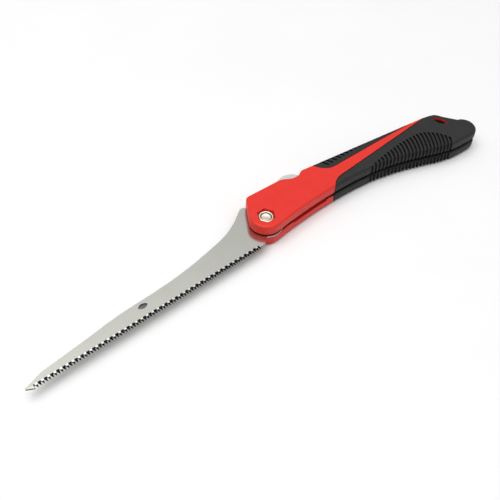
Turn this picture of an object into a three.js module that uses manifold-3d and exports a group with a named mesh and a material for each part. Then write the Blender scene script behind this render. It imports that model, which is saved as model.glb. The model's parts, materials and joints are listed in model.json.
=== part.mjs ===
// Folding pruning saw, opened: a toothed blade swings about one pivot bolt into a slot between
// two handle shells. X runs along the saw (blade towards -X, tail towards +X), Y across it
// (back and lock lever towards +Y, teeth towards -Y) and Z through its thickness.
// The plan is drawn about the pivot axis, with the saw lying on its lower shell at Z = 0.
import * as THREE from 'three';
import { mergeVertices } from 'three/addons/utils/BufferGeometryUtils.js';
import Module from 'manifold-3d';

const wasm = await Module();
wasm.setup();

// ---- Driving dimensions, in millimetres and degrees ----
const bladeReach = 215.7;
const bladeThickness = 1.3;
const toothCount = 84;
const toothDepth = 3.0;
const toothLine = 16.6;
const heelReach = 19.5;
const foldAngle = 169.5;
const spineClearance = 1.5;
const sightMark = { along: 119.5, across: -6, length: 7, width: 3.7, depth: 0.9 };
const tangRadius = 13.4;

const shellThickness = 8.5;
const slotGap = 2.5;
const edgeRound = 2.0;
const tipCover = 1.9;
const frontSlant = 145;
const gripStart = 64.3;
const tailRadius = 10.8;
const tailDrop = 25.5;
const padThickness = 1.8;
const partGap = 0.3;
const ribSpacing = 4.1;
const ribWidth = 1.7;
const ribDepth = 0.8;
const ribCount = 28;
const backRibCount = 10;

const boltDiameter = 7.9;
const nutAcrossFlats = 12.7;
const nutHeight = 5.5;
const crownDiameter = 11.6;
const crownHeight = 2.0;
const nutRecess = 1.2;
const headHeight = 4.0;
const headRecess = 0.8;
const socketClearance = 0.15;
const bushDiameter = 11;
const washerDiameter = 20;
const washerThickness = 0.5;
const runningGap = 0.1;

const pinDiameter = 4;
const pinDepth = 5;
const leverPinReach = 38;
const leverEye = 4;
const leverThickness = 2.1;
const armWidth = 3.1;
const armRoom = 6.5;
const tabRadius = 13.4;
const lockTooth = { left: 4.8, right: 8.0 };
const lockNotchDepth = 2.6;
const springThickness = 0.6;

const screwDiameter = 3;
const screwHead = 5.6;
const screwHeadHeight = 2;
const screwRecess = 0.6;
const screwBite = 5.5;
const lanyard = { fromTail: 21.8, across: -8.3, length: 11.6, width: 6.6, lean: -64 };

// ---- Sizes that follow from them ----
const handleThickness = 2 * shellThickness + slotGap;
const slotFloor = shellThickness;
const slotRoof = shellThickness + slotGap;
const midPlane = handleThickness / 2;
const handleReach = bladeReach + tipCover;
const noseRadius = tangRadius - 0.6;
const armBottom = tangRadius + 1.1;
const armTop = armBottom + armWidth;
const backHeight = armTop + armRoom;
const tailCentre = new THREE.Vector2(handleReach - tailRadius, -tailDrop);
const stopPin = { x: 1.9, y: tangRadius + pinDiameter / 2 + 3.8 };
const leverPin = { x: leverPinReach, y: armBottom + 0.9 };
const tabCentre = { x: leverPinReach + 8.2, y: leverPin.y + 1.6 };
const tangFace = stopPin.x - pinDiameter / 2 - partGap;
const boltRadius = boltDiameter / 2;
const bushRadius = bushDiameter / 2;
const crownRadius = crownDiameter / 2;
const pinRadius = pinDiameter / 2;
const screwRadius = screwDiameter / 2;
const nutSeat = handleThickness - nutRecess - nutHeight;
const roundSteps = 32;
const smallSteps = 18;
const curveSegments = 4;

const point = (x, y) => new THREE.Vector2(x, y);
const radians = THREE.MathUtils.degToRad;
const polar = (radius, degrees) => point(radius, 0).rotateAround(point(0, 0), radians(degrees));

// Stations along the grip, from where the soft pads start (0) to the tail (1).
const gripAt = (share) => gripStart + share * (handleReach - gripStart);
const screwSpots = [
  [gripStart + 0.7, backHeight - 11.1], [gripAt(0.155), 5.4], [gripAt(0.461), 3.2], [gripAt(0.761), -5.5],
];
const lanyardX = handleReach - lanyard.fromTail;

// ---- Solids: three.js geometry, closed and ready for joining and cutting ----
function solid(geometry) {
  geometry.deleteAttribute('normal');
  geometry.deleteAttribute('uv');
  const merged = mergeVertices(geometry, 1e-5);
  const vertProperties = Float32Array.from(merged.attributes.position.array);
  const triVerts = Uint32Array.from(merged.index.array);
  return new wasm.Manifold(new wasm.Mesh({ numProp: 3, vertProperties, triVerts }));
}

function prism(shape, bottom, top, grow = 0) {
  const rim = grow === 0 ? 0 : 0.05;
  const geometry = new THREE.ExtrudeGeometry(shape, {
    depth: top - bottom - 2 * rim, curveSegments, bevelEnabled: grow !== 0,
    bevelThickness: rim, bevelSize: 0, bevelOffset: grow, bevelSegments: 1,
  });
  geometry.translate(0, 0, bottom + rim);
  return solid(geometry);
}

function rounded(shape, inset, radius) {
  const depth = handleThickness - 2 * inset - 2 * radius;
  const geometry = new THREE.ExtrudeGeometry(shape, {
    depth, curveSegments, bevelThickness: radius, bevelSize: radius,
    bevelOffset: -inset - radius, bevelSegments: 2,
  });
  geometry.translate(0, 0, inset + radius);
  return solid(geometry);
}

function turned(profile, steps = roundSteps) {
  const geometry = new THREE.LatheGeometry(profile, steps);
  geometry.rotateX(Math.PI / 2);
  return solid(geometry);
}

function rod(x, y, radius, bottom, top, steps = roundSteps) {
  const geometry = new THREE.CylinderGeometry(radius, radius, top - bottom, steps);
  geometry.rotateX(Math.PI / 2);
  geometry.translate(x, y, (bottom + top) / 2);
  return solid(geometry);
}

function tube(outer, inner, bottom, top) {
  return rod(0, 0, outer, bottom, top).subtract(rod(0, 0, inner, bottom - 1, top + 1));
}

function hexagon(acrossFlats) {
  const cornerRadius = acrossFlats / 2 / Math.cos(Math.PI / 6);
  return new THREE.Shape([0, 60, 120, 180, 240, 300].map((angle) => polar(cornerRadius, angle)));
}

function stadium(x, y, length, width, lean) {
  const reach = polar((length - width) / 2, lean);
  const shape = new THREE.Shape();
  shape.absarc(x + reach.x, y + reach.y, width / 2, radians(lean - 90), radians(lean + 90));
  shape.absarc(x - reach.x, y - reach.y, width / 2, radians(lean + 90), radians(lean + 270));
  shape.closePath();
  return shape;
}

// A round stretch of an outline, in steps of equal angle.
function arcThrough(shape, radius, from, to, steps) {
  for (let step = 0; step <= steps; step += 1) {
    const angle = from + (to - from) * step / steps;
    shape.lineTo(radius * Math.cos(angle), radius * Math.sin(angle));
  }
}

// ---- Outlines ----
function handleOutline() {
  const shape = new THREE.Shape();
  const tailStep = tailCentre.clone().add(polar(tailRadius, 50));
  shape.moveTo(0, -noseRadius);
  shape.splineThru([
    point(16, 1.5 - noseRadius), point(36, 2.8 - noseRadius), point(56, -9.5), point(gripAt(0.09), -10),
    point(gripAt(0.22), -11.5), point(gripAt(0.357), -15.1), point(gripAt(0.494), -20.6),
    point(gripAt(0.611), -26.9), point(gripAt(0.696), -31.7), point(gripAt(0.781), -34.9),
    point(gripAt(0.859), 0.3 - tailDrop - tailRadius),
  ]);
  shape.lineTo(tailCentre.x, tailCentre.y - tailRadius);
  shape.absarc(tailCentre.x, tailCentre.y, tailRadius, radians(-90), radians(50));
  shape.quadraticCurveTo(tailStep.x - 1.5, tailStep.y + 1, tailStep.x - 3.2, tailStep.y + 1.4);
  shape.lineTo(handleReach - 15.5, -3.6);
  shape.quadraticCurveTo(handleReach - 18.2, 0.7, handleReach - 23, 2.3);
  shape.lineTo(gripAt(0.8), 4.1);
  shape.lineTo(leverPin.x + 22, backHeight - 4.2);
  shape.splineThru([
    [17.8, 4.1], [15.2, 5.5], [12.8, 6.3], [9.8, 6.5], [6.4, 5.9],
    [3, 4.2], [-0.5, 2.3], [-4, 1.4], [-8, 1.2],
  ].map(([along, drop]) => point(leverPin.x + along, backHeight - drop)));
  shape.lineTo(4, backHeight);
  shape.quadraticCurveTo(1.1, backHeight + 0.1, -0.6, backHeight - 2.4);
  const front = polar(noseRadius, frontSlant);
  shape.lineTo(front.x, front.y);
  shape.absarc(0, 0, noseRadius, radians(frontSlant), radians(270));
  return shape;
}

// The soft overmould on the back: it starts behind the thumb notch and thins out before the tail.
function backPadOutline() {
  const start = gripStart + 2.7;
  const end = gripAt(0.774);
  const shape = new THREE.Shape();
  shape.moveTo(start, backHeight + 10);
  shape.lineTo(start, backHeight - 5.1);
  shape.bezierCurveTo(start + 2, 14, start + 5, 7.4, start + 15, 6.9);
  shape.lineTo(gripAt(0.494), 6.1);
  shape.lineTo(end, 4.6);
  shape.lineTo(end, backHeight + 10);
  shape.closePath();
  return shape;
}

// The soft overmould on the belly: it wraps the whole tail.
function bellyPadOutline() {
  const shape = new THREE.Shape();
  shape.moveTo(gripStart, -60);
  shape.lineTo(handleReach + 20, -60);
  shape.lineTo(handleReach + 20, 30);
  shape.lineTo(gripAt(0.807), 30);
  shape.lineTo(gripAt(0.797), 3.2);
  shape.lineTo(gripAt(0.624), 1.7);
  shape.lineTo(gripStart + 17.7, -3.1);
  shape.bezierCurveTo(gripStart + 9.7, -3.4, gripStart + 3.2, -6.5, gripStart, -10.5);
  shape.closePath();
  return shape;
}

// Solid stretch of the back between the blade slot's two sides: beyond the folded teeth.
function spineOutline() {
  const normal = polar(1, foldAngle - 90);
  const along = polar(1, foldAngle - 180);
  const wall = (distance) => normal.clone().multiplyScalar(toothLine + spineClearance)
    .add(along.clone().multiplyScalar(distance));
  const start = wall(leverPin.x + 22);
  const end = wall(bladeReach - 13);
  const shape = new THREE.Shape();
  shape.moveTo(start.x, start.y);
  shape.lineTo(end.x, end.y);
  shape.lineTo(handleReach + 10, end.y);
  shape.lineTo(handleReach + 10, 40);
  shape.lineTo(start.x, 40);
  shape.closePath();
  return shape;
}

function frontSpineOutline() {
  const shape = new THREE.Shape();
  const end = leverPin.x - 6;
  shape.moveTo(stopPin.x + 2.2, backHeight - 2.1);
  shape.lineTo(end, backHeight - 3.3);
  shape.lineTo(end, backHeight + 10);
  shape.lineTo(stopPin.x + 2.2, backHeight + 10);
  shape.closePath();
  return shape;
}

function bladeOutline() {
  const shape = new THREE.Shape();
  const gullet = toothDepth - toothLine;
  const firstTooth = 5.2 - bladeReach;
  const pitch = (bladeReach - 5.2 - heelReach) / toothCount;
  shape.moveTo(-bladeReach, gullet);
  shape.lineTo(firstTooth, -toothLine);
  for (let tooth = 0; tooth < toothCount; tooth += 1) {
    shape.lineTo(firstTooth + (tooth + 0.45) * pitch, gullet);
    shape.lineTo(firstTooth + (tooth + 1) * pitch, -toothLine);
  }
  shape.lineTo(0.6 - heelReach, 1.6 - toothLine);
  shape.lineTo(-13.6, 1.7 - toothLine);
  shape.lineTo(-11.3, 0.4 - tangRadius);
  const notch = { left: lockTooth.left - partGap, right: lockTooth.right + partGap };
  const rimHeight = (x) => Math.sqrt(tangRadius ** 2 - x ** 2);
  const angleAt = (x) => Math.atan2(rimHeight(x), x);
  arcThrough(shape, tangRadius, radians(-124), angleAt(notch.right), 30);
  const notchFloor = rimHeight((notch.left + notch.right) / 2) - lockNotchDepth;
  shape.lineTo(notch.right, notchFloor);
  shape.lineTo(notch.left, notchFloor);
  arcThrough(shape, tangRadius, angleAt(notch.left), angleAt(tangFace), 4);
  const shoulder = stopPin.y + 4.4;
  shape.lineTo(tangFace, shoulder - 2.2);
  shape.quadraticCurveTo(tangFace, shoulder, -3.2, shoulder);
  shape.splineThru([
    point(-5.2, shoulder - 0.4), point(-8.8, shoulder - 2.4), point(-15.3, 17.1), point(-23.7, 12.9),
    point(-31.9, 9.8),
    ...[[0.24, 5.5], [0.332, 2.2], [0.409, 0.1], [0.471, -0.8], [0.593, -1.6], [0.655, -2.4], [0.747, -4.6],
      [0.839, -6.6]].map(([share, y]) => point(-share * bladeReach, y)),
  ]);
  shape.lineTo(14.1 - bladeReach, -8.6);
  shape.lineTo(0.4 - bladeReach, gullet + 0.5);
  shape.closePath();
  return shape;
}

function leverOutline() {
  const clear = tangRadius + partGap;
  const footHeight = (x) => Math.sqrt(clear ** 2 - x ** 2) + 0.05;
  const shape = new THREE.Shape();
  shape.moveTo(lockTooth.left, footHeight(lockTooth.left));
  shape.lineTo(lockTooth.right, footHeight(lockTooth.right));
  shape.lineTo(lockTooth.right + 0.2, armBottom - 0.9);
  shape.quadraticCurveTo(lockTooth.right + 0.3, armBottom, lockTooth.right + 1.5, armBottom);
  shape.lineTo(leverPin.x - 8, armBottom - 0.2);
  shape.quadraticCurveTo(leverPin.x - 5, armBottom - 0.5, leverPin.x - 3.2, leverPin.y - 2.4);
  shape.absarc(leverPin.x, leverPin.y, leverEye, radians(217), radians(318));
  shape.lineTo(tabCentre.x + 10.5, tabCentre.y + 0.6);
  shape.absarc(tabCentre.x, tabCentre.y, tabRadius, radians(12), radians(138));
  shape.quadraticCurveTo(leverPin.x - 3.6, armTop + 4.4, leverPin.x - 4.6, armTop + 1.8);
  shape.lineTo(leverPin.x - 7, armTop + 0.8);
  shape.lineTo(lockTooth.left + 5, armTop);
  shape.quadraticCurveTo(lockTooth.left, armTop - 0.3, lockTooth.left, armTop - 2);
  shape.closePath();
  return shape;
}

// Flat strip spring, anchored in the spine, whose free end sits just under the lever's eye.
function springOutline() {
  const height = leverPin.y - 5.5;
  const top = [[27, 0], [22, 0], [13, 0.3], [4, 2.3]].map(([x, y]) => [leverPin.x + x, height + y]);
  const bottom = top.map(([x, y]) => [x, y - springThickness]).reverse();
  return new THREE.Shape([...top, ...bottom].map(([x, y]) => point(x, y)));
}

// ---- Cuts that several pieces share ----
const outline = handleOutline();
const everywhere = 60;
const body = rounded(outline, 0, edgeRound);
const hexSocket = hexagon(nutAcrossFlats + 2 * socketClearance);
const lanyardHole = prism(
  stadium(lanyardX, lanyard.across, lanyard.length, lanyard.width, lanyard.lean), -1, everywhere,
);

function layer(bottom, top) {
  const geometry = new THREE.BoxGeometry(700, 200, top - bottom);
  geometry.translate(0, 0, (bottom + top) / 2);
  return solid(geometry);
}

const upperHalf = layer(slotRoof, everywhere);
const lowerHalf = layer(-everywhere, slotFloor);

function screwCut(x, y) {
  const shaft = rod(x, y, screwRadius + runningGap, -1, slotRoof + screwBite + runningGap, smallSteps);
  const counterbore = rod(x, y, screwHead / 2 + partGap, -1, screwRecess + screwHeadHeight, smallSteps);
  return shaft.add(counterbore);
}

const screwCuts = screwSpots.map(([x, y]) => screwCut(x, y)).reduce((all, cut) => all.add(cut));

// A pad is the skin of the handle's body over its own part of the plan, and the core under it is
// the body without that skin and the gap.
const padHollow = rounded(outline, padThickness, 1);
const padBed = rounded(outline, padThickness + partGap, 0.9);

// One finger groove: a band of constant width along a curve, drawn from its start.
function grooveBand(start, bend, end) {
  const curve = new THREE.QuadraticBezierCurve(start, bend, end);
  const sides = [1, -1].map((side) => [0, 0.25, 0.5, 0.75, 1].map((share) => {
    const tangent = curve.getTangent(share);
    return curve.getPoint(share).add(point(-tangent.y, tangent.x).multiplyScalar(side * ribWidth / 2));
  }));
  return new THREE.Shape([...sides[0], ...sides[1].reverse()]);
}

// The belly's grooves lie side by side under an arch, and the back's under the back edge.
function fingerGrooves() {
  const field = new THREE.Shape();
  field.moveTo(gripAt(0.12), -60);
  field.lineTo(gripAt(0.12), -13.4);
  field.lineTo(gripAt(0.2), -13.2);
  field.splineThru([
    point(gripAt(0.318), -9.8), point(gripAt(0.455), -7.3), point(gripAt(0.592), -6.6),
    point(gripAt(0.69), -8.8), point(gripAt(0.761), -17.5), point(gripAt(0.797), -29),
  ]);
  field.lineTo(gripAt(0.797), -60);
  const belly = Array.from({ length: ribCount }, (_, index) => {
    const start = point(gripAt(0.207) + (index - 2) * ribSpacing, -6);
    return prism(grooveBand(start, point(start.x - 1.8, -14.5), point(start.x - 24, -40)), -1, everywhere);
  });
  const back = Array.from({ length: backRibCount }, (_, index) => {
    const start = point(gripAt(0.097) + index * (ribSpacing + 0.4), 11.2);
    return prism(grooveBand(start, point(start.x - 2.4, 15.2), point(start.x - 4.2, 21)), -1, everywhere);
  });
  const join = (all, groove) => all.add(groove);
  return belly.reduce(join).intersect(prism(field, -1, everywhere)).add(back.reduce(join))
    .subtract(rounded(outline, ribDepth, 1.4));
}

const grooves = fingerGrooves();

function pad(shape, half) {
  return body.intersect(prism(shape, -1, everywhere)).subtract(padHollow).intersect(half)
    .subtract(grooves).subtract(lanyardHole).subtract(screwCuts);
}

function padSeat(shape) {
  return prism(shape, -1, everywhere, partGap).subtract(padBed);
}

const padSeats = padSeat(backPadOutline()).add(padSeat(bellyPadOutline()));

function core(half) {
  return body.intersect(half).subtract(padSeats).subtract(lanyardHole);
}

// The pivot hole and the two cross pins' holes, as blind as the pins are long.
function pinHoles() {
  const depth = pinDepth + runningGap;
  const hole = (x, y) => rod(x, y, pinRadius + runningGap, slotFloor - depth, slotRoof + depth, smallSteps);
  return hole(leverPin.x, leverPin.y).add(hole(stopPin.x, stopPin.y));
}

function pivotHole() {
  return rod(0, 0, boltRadius + runningGap, -1, everywhere);
}

// ---- Pieces ----
function upperShell() {
  return core(upperHalf)
    .subtract(prism(hexSocket, nutSeat, everywhere))
    .subtract(pivotHole())
    .subtract(pinHoles())
    .subtract(screwCuts);
}

function lowerShell() {
  const rib = prism(outline, slotFloor - 1, slotRoof, -0.8)
    .intersect(prism(spineOutline(), 0, everywhere).add(prism(frontSpineOutline(), 0, everywhere)))
    .subtract(padSeats)
    .subtract(lanyardHole);
  const springSlit = prism(springOutline(), slotFloor, everywhere, runningGap);
  return core(lowerHalf)
    .add(rib)
    .subtract(springSlit)
    .subtract(prism(hexSocket, -1, headRecess + headHeight))
    .subtract(pivotHole())
    .subtract(pinHoles())
    .subtract(screwCuts);
}

function blade() {
  const shape = bladeOutline();
  const bottom = midPlane - bladeThickness / 2;
  const top = midPlane + bladeThickness / 2;
  const mark = stadium(-sightMark.along, sightMark.across, sightMark.length, sightMark.width, 0);
  return prism(shape, bottom, top)
    .subtract(prism(mark, top - sightMark.depth, top + 1))
    .subtract(rod(0, 0, bushRadius + runningGap, bottom - 1, top + 1));
}

function lockLever() {
  const bottom = midPlane - leverThickness / 2;
  const top = midPlane + leverThickness / 2;
  return prism(leverOutline(), bottom, top)
    .subtract(rod(leverPin.x, leverPin.y, pinRadius + runningGap, bottom - 1, top + 1));
}

function pivotBolt() {
  const shank = rod(0, 0, boltRadius, headRecess + headHeight / 2, handleThickness - nutRecess - 0.3);
  const cap = turned([
    point(0, headRecess), point(5.4, headRecess), point(7.4, headRecess + 1.2),
    point(7.4, headRecess + headHeight), point(0, headRecess + headHeight),
  ]);
  return prism(hexagon(nutAcrossFlats), headRecess - 1, headRecess + headHeight).intersect(cap).add(shank);
}

// Height of the crown's inner lip, and the nylon ring's seat under it.
const ringSeat = nutSeat + nutHeight - crownHeight;
const lipBottom = nutSeat + nutHeight - 0.5;
const ringOuter = crownRadius - 0.8;
const threadClear = boltRadius + runningGap;

function pivotNut() {
  const top = nutSeat + nutHeight;
  const wide = 9;
  const hex = prism(hexagon(nutAcrossFlats), nutSeat, ringSeat).intersect(turned([
    point(0, nutSeat), point(6.6, nutSeat), point(wide, nutSeat + 1.4), point(wide, ringSeat - 1.4),
    point(6.4, ringSeat), point(0, ringSeat),
  ]));
  const crown = turned([
    point(0, ringSeat - 0.5), point(crownRadius, ringSeat - 0.5), point(crownRadius, top - 0.7),
    point(crownRadius - 0.6, top), point(0, top),
  ]);
  const bore = turned([
    point(0, nutSeat - 1), point(threadClear, nutSeat - 1), point(threadClear, ringSeat),
    point(ringOuter + runningGap, ringSeat), point(ringOuter + runningGap, lipBottom),
    point(threadClear + 0.6, lipBottom), point(threadClear + 0.6, top + 1), point(0, top + 1),
  ]);
  return hex.add(crown).subtract(bore);
}

function nylonRing() {
  return tube(ringOuter, threadClear, ringSeat + 0.02, lipBottom - 0.02);
}

function crossPin(spot) {
  return rod(spot.x, spot.y, pinRadius, slotFloor - pinDepth, slotRoof + pinDepth, smallSteps);
}

function handleScrew([x, y]) {
  const top = screwRecess + screwHeadHeight;
  const head = turned([
    point(0, screwRecess + 0.9), point(0.9, screwRecess + 0.9), point(1.3, screwRecess),
    point(2.2, screwRecess), point(screwHead / 2, screwRecess + 0.7), point(screwHead / 2, top), point(0, top),
  ], smallSteps);
  const shaft = rod(0, 0, screwRadius, top - 0.5, slotRoof + screwBite, smallSteps);
  return head.add(shaft).translate([x, y, 0]);
}

// ---- Assembly ----
const finishes = {
  core: { color: 0xd62a1e, roughness: 0.45, metalness: 0 },
  pad: { color: 0x2c2e2d, roughness: 0.8, metalness: 0 },
  blade: { color: 0xb9bbb4, roughness: 0.35, metalness: 1 },
  steel: { color: 0xd8d8d4, roughness: 0.25, metalness: 1 },
  lever: { color: 0xc9cac6, roughness: 0.3, metalness: 1 },
  nylon: { color: 0xe9e6da, roughness: 0.5, metalness: 0 },
};

function piece(name, shape, finish) {
  const { vertProperties, triVerts } = shape.getMesh();
  const geometry = new THREE.BufferGeometry();
  geometry.setAttribute('position', new THREE.BufferAttribute(Float32Array.from(vertProperties), 3));
  geometry.setIndex(new THREE.BufferAttribute(Uint32Array.from(triVerts), 1));
  geometry.computeVertexNormals();
  const mesh = new THREE.Mesh(geometry, new THREE.MeshStandardMaterial(finishes[finish]));
  mesh.name = name;
  return mesh;
}

const saw = new THREE.Group();
saw.add(piece('upper_shell', upperShell(), 'core'));
saw.add(piece('lower_shell', lowerShell(), 'core'));
saw.add(piece('upper_back_grip', pad(backPadOutline(), upperHalf), 'pad'));
saw.add(piece('upper_belly_grip', pad(bellyPadOutline(), upperHalf), 'pad'));
saw.add(piece('lower_back_grip', pad(backPadOutline(), lowerHalf), 'pad'));
saw.add(piece('lower_belly_grip', pad(bellyPadOutline(), lowerHalf), 'pad'));
saw.add(piece('blade', blade(), 'blade'));
saw.add(piece('lock_lever', lockLever(), 'lever'));
saw.add(piece('pivot_bolt', pivotBolt(), 'steel'));
saw.add(piece('pivot_nut', pivotNut(), 'steel'));
saw.add(piece('nut_nylon_ring', nylonRing(), 'nylon'));
saw.add(piece('pivot_bush', tube(bushRadius, boltRadius + runningGap, slotFloor, slotRoof), 'steel'));
const washer = (bottom) => tube(washerDiameter / 2, bushRadius + partGap, bottom, bottom + washerThickness);
saw.add(piece('lower_pivot_washer', washer(slotFloor), 'nylon'));
saw.add(piece('upper_pivot_washer', washer(slotRoof - washerThickness), 'nylon'));
saw.add(piece('lever_pin', crossPin(leverPin), 'steel'));
saw.add(piece('blade_stop_pin', crossPin(stopPin), 'steel'));
saw.add(piece('lever_spring', prism(springOutline(), slotFloor + partGap, slotRoof - partGap), 'steel'));
screwSpots.forEach((spot, index) => saw.add(piece(`handle_screw_${index + 1}`, handleScrew(spot), 'steel')));

// The origin is the middle of the bounding box, on the plane the lower shell rests on.
const assembly = new THREE.Group();
assembly.add(saw);
const extent = new THREE.Box3().setFromObject(saw);
saw.position.set(-(extent.min.x + extent.max.x) / 2, -(extent.min.y + extent.max.y) / 2, -extent.min.z);

export default assembly;
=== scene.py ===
import json
import math

import bpy
from mathutils import Matrix, Vector
from mathutils.bvhtree import BVHTree


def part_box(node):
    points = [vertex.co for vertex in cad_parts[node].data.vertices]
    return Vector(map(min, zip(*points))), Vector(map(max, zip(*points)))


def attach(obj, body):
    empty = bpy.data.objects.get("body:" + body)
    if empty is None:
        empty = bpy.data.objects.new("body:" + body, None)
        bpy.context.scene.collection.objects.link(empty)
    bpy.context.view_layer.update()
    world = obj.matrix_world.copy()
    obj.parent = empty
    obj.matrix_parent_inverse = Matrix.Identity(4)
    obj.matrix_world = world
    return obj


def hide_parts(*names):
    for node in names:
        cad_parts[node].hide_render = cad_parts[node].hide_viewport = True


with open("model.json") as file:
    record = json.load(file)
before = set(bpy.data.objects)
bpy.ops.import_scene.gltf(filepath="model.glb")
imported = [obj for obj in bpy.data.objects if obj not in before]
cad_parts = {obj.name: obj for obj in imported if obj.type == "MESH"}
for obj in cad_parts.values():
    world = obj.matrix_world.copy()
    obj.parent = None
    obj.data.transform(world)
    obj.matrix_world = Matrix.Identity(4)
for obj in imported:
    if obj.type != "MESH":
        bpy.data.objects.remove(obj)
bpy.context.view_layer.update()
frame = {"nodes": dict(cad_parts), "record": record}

mm = 0.001
weld = 0.00002  # points closer than this, in metres, become one
flatAngle = math.radians(0.2)  # faces that turn less than this from each other become one
same = 0.01  # places closer than this, in mm, count as one

# places read from the frame: the pivot axis, the lever's pin and the heights of the two shells
washerLow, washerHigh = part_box("upper_pivot_washer")
pinLow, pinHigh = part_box("lever_pin")
stopLow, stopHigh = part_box("blade_stop_pin")
shellLow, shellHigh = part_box("upper_shell")
bladeLow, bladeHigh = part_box("blade")
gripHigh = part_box("upper_belly_grip")[1]
leverLow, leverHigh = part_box("lock_lever")
pivotX = (washerLow.x + washerHigh.x) / 2
pivotY = (washerLow.y + washerHigh.y) / 2
topZ = shellHigh.z / mm
slotRoof = shellLow.z / mm
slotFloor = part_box("lower_pivot_washer")[0].z / mm
handleReach = (gripHigh.x - pivotX) / mm
bladeReach = (pivotX - bladeLow.x) / mm


def at(x, y, z):
    # millimetres from the pivot axis and the rest plane, to metres in the frame
    return Vector((pivotX + x * mm, pivotY + y * mm, z * mm))


def spotOf(place):
    # the other way round
    return (place.x - pivotX) / mm, (place.y - pivotY) / mm, place.z / mm


def ring(x, y, radius, start, end, steps, kind="round"):
    # stops along a round stretch of an outline, both ends included
    turn = [math.radians(start + (end - start) * step / steps) for step in range(steps + 1)]
    return [(x + radius * math.cos(angle), y + radius * math.sin(angle), kind) for angle in turn]


def ramp(value, low, high):
    # 0 below low and 1 above high, with an easy change between
    share = min(max((value - low) / (high - low), 0), 1)
    return share * share * (3 - 2 * share)


def letGo():
    # back in object mode with nothing selected
    if bpy.context.object and bpy.context.object.mode != "OBJECT":
        bpy.ops.object.mode_set(mode="OBJECT")
    bpy.ops.object.select_all(action="DESELECT")


def pick(*pieces):
    letGo()
    for piece in pieces:
        piece.select_set(True)
    bpy.context.view_layer.objects.active = pieces[0]


def editAll(piece):
    pick(piece)
    bpy.ops.object.mode_set(mode="EDIT")
    bpy.ops.mesh.select_mode(type="VERT")
    bpy.ops.mesh.select_all(action="SELECT")


def editEdges(piece, wanted):
    # opens the piece with only the edges selected whose two ends pass the test, ends in mm from the pivot
    pick(piece)
    mesh = piece.data
    spots = [spotOf(vertex.co) for vertex in mesh.vertices]
    for vertex in mesh.vertices:
        vertex.select = False
    for face in mesh.polygons:
        face.select = False
    for edge in mesh.edges:
        edge.select = wanted(spots[edge.vertices[0]], spots[edge.vertices[1]])
    bpy.ops.object.mode_set(mode="EDIT")
    bpy.ops.mesh.select_mode(type="EDGE")


def closeEdit(piece):
    # the edits stay, and the piece can be passed on
    bpy.ops.object.mode_set(mode="OBJECT")
    return piece


def drawLine(name, stops, spot, fineness=6, closed=True):
    # a line through the stops, smooth at the round ones; spot turns a stop into a place in the frame
    letGo()
    bpy.ops.curve.primitive_bezier_curve_add()
    drawn = bpy.context.object
    spline = drawn.data.splines[0]
    spline.bezier_points.add(len(stops) - len(spline.bezier_points))
    for knot, (x, y, kind) in zip(spline.bezier_points, stops):
        knot.co = spot(x, y)
        knot.handle_left_type = knot.handle_right_type = "AUTO" if kind == "round" else "VECTOR"
    spline.use_cyclic_u = closed
    drawn.data.resolution_u = fineness
    bpy.ops.object.convert(target="MESH")
    piece = bpy.context.object
    piece.name = piece.data.name = name
    editAll(piece)
    bpy.ops.mesh.remove_doubles(threshold=weld)
    return closeEdit(piece)


def drawFace(name, stops, height, fineness=6, inset=0):
    # the area inside the outline, drawn in by inset
    piece = drawLine(name, stops, lambda x, y: at(x, y, height), fineness)
    editAll(piece)
    bpy.ops.mesh.edge_face_add()
    if inset:
        bpy.ops.mesh.select_mode(type="FACE")
        bpy.ops.mesh.inset(thickness=inset * mm, use_boundary=True)
        bpy.ops.mesh.select_all(action="INVERT")
        bpy.ops.mesh.delete(type="FACE")
    return closeEdit(piece)


def raiseFace(piece, rise):
    editAll(piece)
    bpy.ops.mesh.extrude_region_move(TRANSFORM_OT_translate={"value": (0, 0, rise * mm)})
    bpy.ops.mesh.select_all(action="SELECT")
    bpy.ops.mesh.normals_make_consistent(inside=False)
    return closeEdit(piece)


def slab(name, stops, low, high, fineness=6, inset=0):
    return raiseFace(drawFace(name, stops, low, fineness, inset), high - low)


def rod(x, y, radius, low, high, sides=48, turn=0):
    letGo()
    bpy.ops.mesh.primitive_cylinder_add(
        vertices=sides, radius=radius * mm, depth=(high - low) * mm, location=at(x, y, (low + high) / 2),
        rotation=(0, 0, math.radians(turn)))
    piece = bpy.context.object
    bpy.ops.object.transform_apply(location=True, rotation=True, scale=True)
    return piece


def turned(name, profile, x, y, steps=64, closed=False):
    # profile stops are (radius, height): an open one starts and ends on the axis
    piece = drawLine(name, profile, lambda radius, height: at(x + radius, y, height), 4, closed)
    editAll(piece)
    bpy.ops.mesh.spin(steps=steps, angle=2 * math.pi, center=at(x, y, 0), axis=(0, 0, 1))
    bpy.ops.mesh.select_all(action="SELECT")
    bpy.ops.mesh.remove_doubles(threshold=weld / 2)
    bpy.ops.mesh.normals_make_consistent(inside=False)
    return closeEdit(piece)


def modify(piece, kind, **settings):
    pick(piece)
    step = piece.modifiers.new(kind.lower(), kind)
    for setting, value in settings.items():
        setattr(step, setting, value)
    bpy.ops.object.modifier_apply(modifier=step.name)
    return piece


def carve(piece, *tools, how="DIFFERENCE"):
    # the tools are used up
    for tool in tools:
        modify(piece, "BOOLEAN", operation=how, object=tool, solver="MANIFOLD")
        bpy.data.objects.remove(tool)
    return piece


def splitAt(*planes):
    # divides the open piece's faces along each plane, given by a place in mm and a direction
    for place, direction in planes:
        bpy.ops.mesh.select_all(action="SELECT")
        bpy.ops.mesh.bisect(plane_co=at(*place), plane_no=direction)


def copyOf(piece, name):
    # a twin with a mesh of its own
    twin = piece.copy()
    twin.data = piece.data.copy()
    twin.name = twin.data.name = name
    bpy.context.scene.collection.objects.link(twin)
    return twin


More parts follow.
